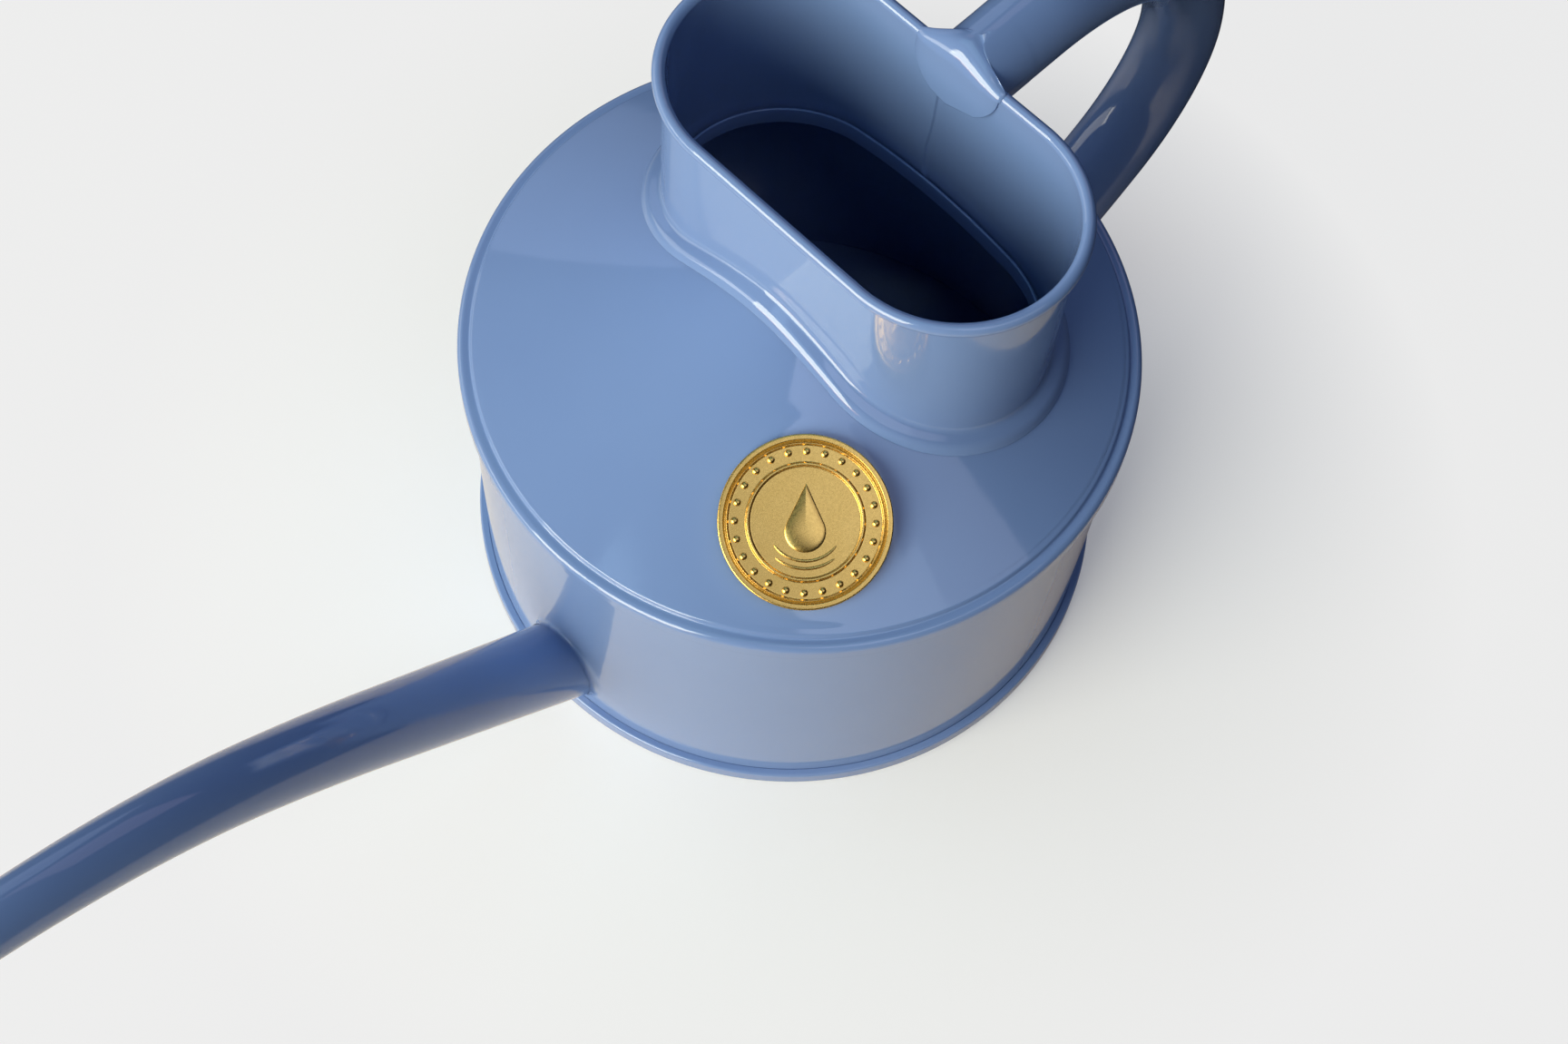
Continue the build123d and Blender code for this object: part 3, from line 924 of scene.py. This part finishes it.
def badge_plate():
    """The badge with a generic relief: a drop over two ripples, in a ring of pellets."""
    circle = np.linspace(0, 2 * math.pi, 18, endpoint=False)
    pellet = pellet_radius * np.column_stack([np.cos(circle), np.sin(circle)])
    parts = [badge_disc(), dome(0, drop_y, drop_outline(), badge_relief, 10)]
    for turn in np.linspace(0, 2 * math.pi, pellet_count, endpoint=False):
        x, y = pellet_place * math.cos(turn), pellet_place * math.sin(turn)
        parts.append(dome(x, y, pellet, badge_relief))
    parts += [ripple(radius, half_angle) for radius, half_angle in ripples]
    piece("badge_plate", joined(*parts), badge_brass, ["badge_plate"], sharp=50)


def badge_pad():
    """Foam pad: its top is flat under the badge and its underside lies on the cone."""
    angle = np.linspace(0, 2 * math.pi, 128, endpoint=False)
    radius = badge_radius - pad_margin
    rows = []
    for share in np.linspace(0.02, 1, 12):
        rows.append(on_badge(radius * share * np.cos(angle), radius * share * np.sin(angle), 0.0))
    for share in np.linspace(1, 0.02, 12):
        low = on_badge(radius * share * np.cos(angle), radius * share * np.sin(angle), 0.0)
        depth = (low[:, 2] - cone_z(low[:, 0], low[:, 1])) * badge_outward[2]
        rows.append(low - depth[:, None] * badge_outward)
    piece("badge_pad", grid(rows), pad_foam, ["badge_pad"])


base_pan()
drum_wall()
shoulder_cone()
neck_collar()
spout_tube()
spout_tip_ring()
handle_tube()
badge_plate()
badge_pad()

# --- Floor, light and camera ---
paper_half = 3.0
paper_middle = (0.05, 0.03, 0.0)
# the paper's painted shade: distances from the patch's middle over which it fades in, then the x behind the
# can over which it sets in
paper_fade = (0.17, 0.3)
paper_back = (-0.1, -0.07)
paper_glow = (0.055, 0.12, 0.25, 0.95)  # two distances from the can, and the shares of glow there
lamp_distance = 1.15
lamp_aim = np.array([0, 0, 0.05])
panel_height = 1.15
camera_place = (0.145085, 0.120498, 0.381112)
camera_turns = (64.281, 129.622, 5.955)  # elevation, azimuth and roll
camera_lens = 56.233


def floor():
    """White paper. The camera sees its own light and shade close to the can, and one pale tone further out.

    For all other rays, which the can mirrors and which light it from below, the paper's colour is a pale
    patch round the can. It goes dark further out and behind the can. That dark colour is painted shade, so
    that the handle's foot stays in shade.
    """
    n = Nodes("paper")
    place = n.add("ShaderNodeTexCoord").outputs["Object"]
    grain = n.noise(place, 3.0, 2.0)
    ends = {0: place, 1: paper_middle}
    from_middle = n.add("ShaderNodeVectorMath", ends, operation="DISTANCE").outputs["Value"]
    from_can = n.add("ShaderNodeVectorMath", {0: place}, operation="LENGTH").outputs["Value"]
    # painted shade: for rays other than the camera's, the paper's colour goes dark away from the patch and
    # behind the can
    near = n.map(from_middle, *paper_fade, 1.0, 0.0)
    x = n.add("ShaderNodeSeparateXYZ", {0: place}).outputs["X"]
    in_front = n.map(x, *paper_back, 0.0, 1.0)
    paper_and_painted_shade = n.mix(n.math("MULTIPLY", near, in_front), srgb(60, 60, 62), srgb(240, 227, 216))
    camera_ray = n.add("ShaderNodeLightPath").outputs["Is Camera Ray"]
    seen = n.mix(grain, srgb(248, 248, 248), srgb(252, 252, 252))
    diffuse = n.add("ShaderNodeBsdfDiffuse", {"Color": n.mix(camera_ray, paper_and_painted_shade, seen)})
    glow = n.add("ShaderNodeEmission", {"Color": n.mix(grain, srgb(236, 236, 236), srgb(238, 238, 238))})
    share = n.math("MULTIPLY", camera_ray, n.map(from_can, *paper_glow))
    mixed = n.add("ShaderNodeMixShader", {0: share, 1: diffuse.outputs[0], 2: glow.outputs[0]})
    n.add("ShaderNodeOutputMaterial", {"Surface": mixed.outputs[0]})
    mesh = bpy.data.meshes.new("floor")
    corners = [(x * paper_half, y * paper_half, 0) for x, y in ((-1, -1), (1, -1), (1, 1), (-1, 1))]
    mesh.from_pydata(corners, [], [(0, 1, 2, 3)])
    mesh.materials.append(n.material)
    obj = bpy.data.objects.new("floor", mesh)
    bpy.context.scene.collection.objects.link(obj)


def softbox(name, place, across, up, size, radiance):
    """A soft lamp with its middle at place. It shines along the cross product of up and across."""
    data = bpy.data.lights.new(name, "AREA")
    data.shape = "RECTANGLE"
    data.size, data.size_y = size
    data.energy = max(radiance) * math.pi * size[0] * size[1]
    data.color = tuple(c / max(radiance) for c in radiance)
    obj = bpy.data.objects.new(name, data)
    away = np.cross(across, up)
    turn = Matrix([[across[i], up[i], away[i]] for i in range(3)]).to_4x4()
    obj.matrix_world = Matrix.Translation(place) @ turn
    bpy.context.scene.collection.objects.link(obj)


def side_lamp(name, azimuth, elevation, size, radiance):
    """A softbox that points at the can. Azimuth is from +X towards +Y."""
    a, e = math.radians(azimuth), math.radians(elevation)
    away = np.array([math.cos(a) * math.cos(e), math.sin(a) * math.cos(e), math.sin(e)])
    across = np.array([-math.sin(a), math.cos(a), 0])
    softbox(name, lamp_aim + away * lamp_distance, across, np.cross(away, across), size, radiance)


def top_lamp(name, low, high, radiance):
    """A level panel over the can, from corner low to corner high."""
    place = ((low[0] + high[0]) / 2, (low[1] + high[1]) / 2, panel_height)
    size = (high[0] - low[0], high[1] - low[1])
    softbox(name, place, np.array([1, 0, 0]), np.array([0, 1, 0]), size, radiance)


def lights():
    side_lamp("key", -3, 25, (0.9, 0.72), (9.1, 8.9, 7.2))
    side_lamp("low", 0, 8, (0.9, 0.16), (4.0, 1.5, 0.6))
    side_lamp("high", 5, 48, (0.6, 0.5), (0.6, 0.9, 1.2))
    side_lamp("flank", -37, 17, (0.5, 0.34), (4.0, 3.9, 3.5))
    side_lamp("far_flank", -68, 16, (0.7, 0.4), (1.6, 1.55, 1.4))
    side_lamp("left", 250, 26, (0.7, 0.6), (0.45, 0.53, 0.75))
    side_lamp("back", -160, 42, (0.7, 0.5), (0.5, 0.4, 0.55))
    top_lamp("top", (-0.3, -0.6), (0.3, 0.1), (0.35, 0.65, 0.85))
    top_lamp("panel", (-0.1, 0.2), (0.35, 0.85), (1.2, 1.3, 1.65))
    top_lamp("panel_end", (-0.5, 0.4), (-0.1, 0.9), (0.8, 0.8, 1.0))
    world = bpy.data.worlds.new("studio")
    bpy.context.scene.world = world
    world.use_nodes = True
    background = world.node_tree.nodes["Background"]
    background.inputs["Color"].default_value = (1, 1, 1, 1)
    background.inputs["Strength"].default_value = 0.01


def camera():
    """The photo's camera: its place, its turns and its lens come from a pinhole fit to the can."""
    elevation, azimuth, roll = (math.radians(a) for a in camera_turns)
    flat = math.cos(elevation)
    back = np.array([math.sin(azimuth) * flat, -math.cos(azimuth) * flat, math.sin(elevation)])
    level = np.array([math.cos(azimuth), math.sin(azimuth), 0])
    lift = np.cross(back, level)
    right = math.cos(roll) * level + math.sin(roll) * lift
    up = -math.sin(roll) * level + math.cos(roll) * lift
    data = bpy.data.cameras.new("camera")
    data.sensor_width = 36.0
    data.lens = camera_lens
    data.clip_start, data.clip_end = 0.01, 20.0
    obj = bpy.data.objects.new("camera", data)
    turn = Matrix([[right[i], up[i], back[i]] for i in range(3)]).to_4x4()
    obj.matrix_world = Matrix.Translation(camera_place) @ turn
    bpy.context.scene.collection.objects.link(obj)
    bpy.context.scene.camera = obj


floor()
lights()
camera()
bpy.context.scene.view_settings.view_transform = "Standard"

hidden = {"base_seam_seal": seam_compound, "shoulder_seam_seal": seam_compound, "rim_wire": rim_steel}
for node, material in hidden.items():
    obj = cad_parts[node]
    obj.data.materials.clear()
    obj.data.materials.append(material)
